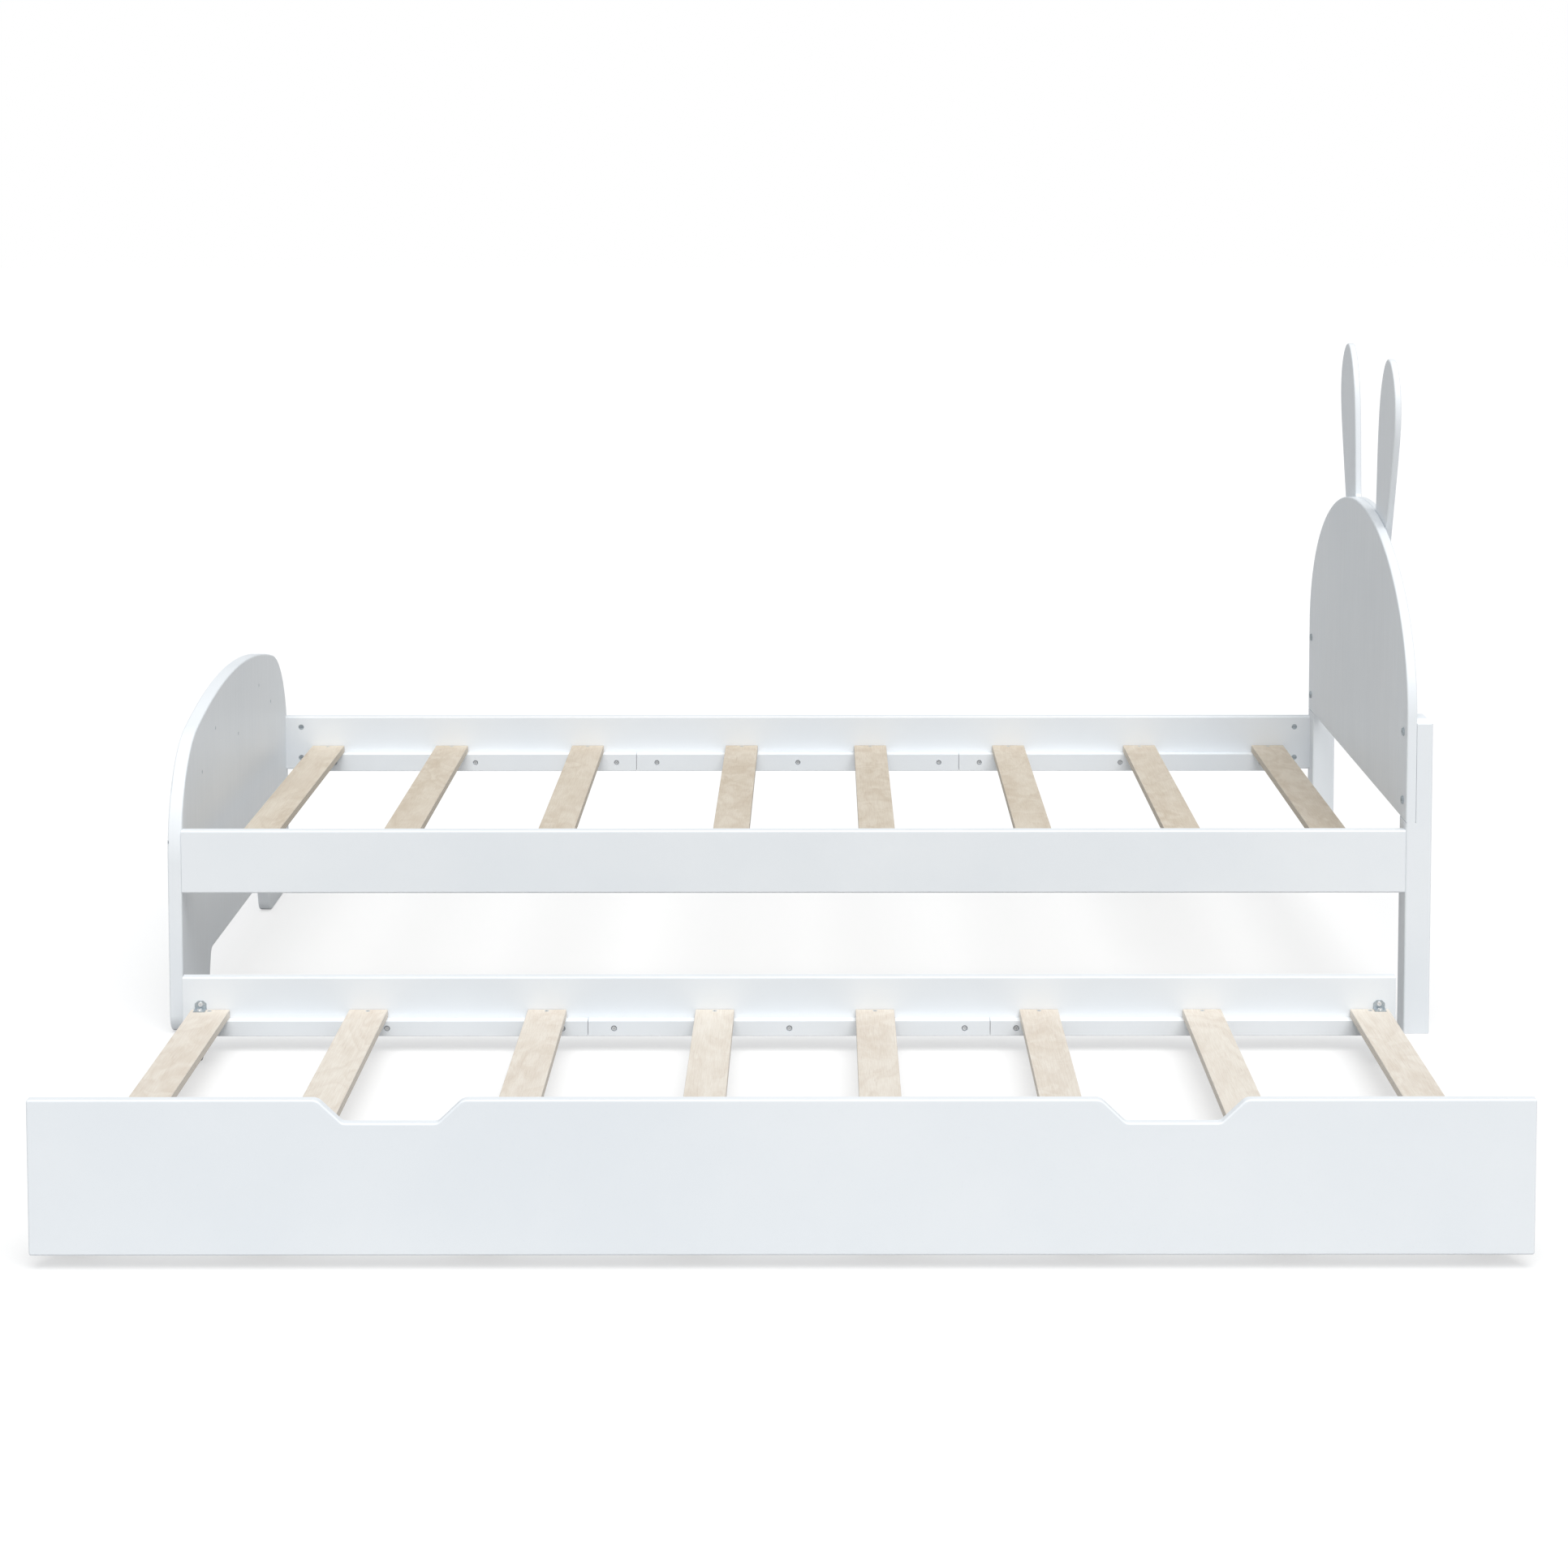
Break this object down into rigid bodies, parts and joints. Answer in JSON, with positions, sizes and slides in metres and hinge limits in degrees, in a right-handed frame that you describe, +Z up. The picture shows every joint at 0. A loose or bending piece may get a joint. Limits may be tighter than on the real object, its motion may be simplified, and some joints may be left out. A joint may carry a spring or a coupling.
{
  "type": "trundle bed",
  "caption": "Single bed with an arched footboard, a domed headboard topped by two rabbit ears, plywood slats, and a slatted trundle bed on casters that rolls out from underneath.",
  "frame": {"origin": "on the floor, in the middle of the footprint of the bed with its trundle pulled all the way out", "axes": "+Z up, +X from the foot to the head, +Y from the pulled-out trundle towards the back of the bed"},
  "size_m": [1.993, 2.135, 1.0491],
  "materials": {
    "white_paint": "satin white paint",
    "birch_ply": "bare plywood",
    "zinc": "zinc plated",
    "beech_dowel": "bare beech",
    "caster_tread": "moulded"
  },
  "bodies": {
    "bed_frame": {"headboard_panel": "white_paint", "rabbit_ears_board": "white_paint", "head_post_front": "white_paint", "head_post_rear": "white_paint", "footboard_panel": "white_paint", "side_rail_front": "white_paint", "side_rail_rear": "white_paint", "bed_cleat_front_1": "white_paint", "bed_cleat_front_2": "white_paint", "bed_cleat_front_3": "white_paint", "bed_cleat_rear_1": "white_paint", "bed_cleat_rear_2": "white_paint", "bed_cleat_rear_3": "white_paint", "bed_slat_1": "birch_ply", "bed_slat_2": "birch_ply", "bed_slat_3": "birch_ply", "bed_slat_4": "birch_ply", "bed_slat_5": "birch_ply", "bed_slat_6": "birch_ply", "bed_slat_7": "birch_ply", "bed_slat_8": "birch_ply", "headboard_bolts": "zinc", "rail_barrel_nuts": "zinc", "rail_bolts_head": "zinc", "rail_bolts_foot": "zinc", "rail_dowels": "beech_dowel", "bed_cleat_screws": "zinc", "bed_slat_screws": "zinc", "footboard_screws": "zinc", "ear_screws": "zinc"},
    "trundle": {"trundle_front_panel": "white_paint", "trundle_rear_rail": "white_paint", "trundle_cleat_front_1": "white_paint", "trundle_cleat_front_2": "white_paint", "trundle_cleat_front_3": "white_paint", "trundle_cleat_rear_1": "white_paint", "trundle_cleat_rear_2": "white_paint", "trundle_cleat_rear_3": "white_paint", "trundle_slat_1": "birch_ply", "trundle_slat_2": "birch_ply", "trundle_slat_3": "birch_ply", "trundle_slat_4": "birch_ply", "trundle_slat_5": "birch_ply", "trundle_slat_6": "birch_ply", "trundle_slat_7": "birch_ply", "trundle_slat_8": "birch_ply", "trundle_corner_brackets": "zinc", "caster_fork_front_foot": "zinc", "caster_fork_front_head": "zinc", "caster_fork_rear_foot": "zinc", "caster_fork_rear_head": "zinc", "bracket_screws": "zinc", "trundle_cleat_screws": "zinc", "trundle_slat_screws": "zinc", "caster_axles": "zinc", "caster_screws": "zinc"},
    "wheel_front_foot": {"caster_wheel_front_foot": "caster_tread"},
    "wheel_front_head": {"caster_wheel_front_head": "caster_tread"},
    "wheel_rear_foot": {"caster_wheel_rear_foot": "caster_tread"},
    "wheel_rear_head": {"caster_wheel_rear_head": "caster_tread"}
  },
  "joints": [
    {"name": "trundle_roll", "type": "slide", "parent": "bed_frame", "child": "trundle", "axis": [0, 1, 0], "range_m": [0, 1.092]},
    {"name": "wheel_spin_front_foot", "type": "hinge", "parent": "trundle", "child": "wheel_front_foot", "pos_m": [-0.9245, -0.9865, 0.02], "axis": [1, 0, 0], "continuous": true},
    {"name": "wheel_spin_front_head", "type": "hinge", "parent": "trundle", "child": "wheel_front_head", "pos_m": [0.8955, -0.9865, 0.02], "axis": [1, 0, 0], "continuous": true},
    {"name": "wheel_spin_rear_foot", "type": "hinge", "parent": "trundle", "child": "wheel_rear_foot", "pos_m": [-0.9245, -0.1235, 0.02], "axis": [1, 0, 0], "continuous": true},
    {"name": "wheel_spin_rear_head", "type": "hinge", "parent": "trundle", "child": "wheel_rear_head", "pos_m": [0.8955, -0.1235, 0.02], "axis": [1, 0, 0], "continuous": true}
  ],
  "couplings": [
    {"joint": "wheel_spin_front_foot", "follows": "trundle_roll", "rad_per_m": -50},
    {"joint": "wheel_spin_front_head", "follows": "trundle_roll", "rad_per_m": -50},
    {"joint": "wheel_spin_rear_foot", "follows": "trundle_roll", "rad_per_m": -50},
    {"joint": "wheel_spin_rear_head", "follows": "trundle_roll", "rad_per_m": -50}
  ]
}
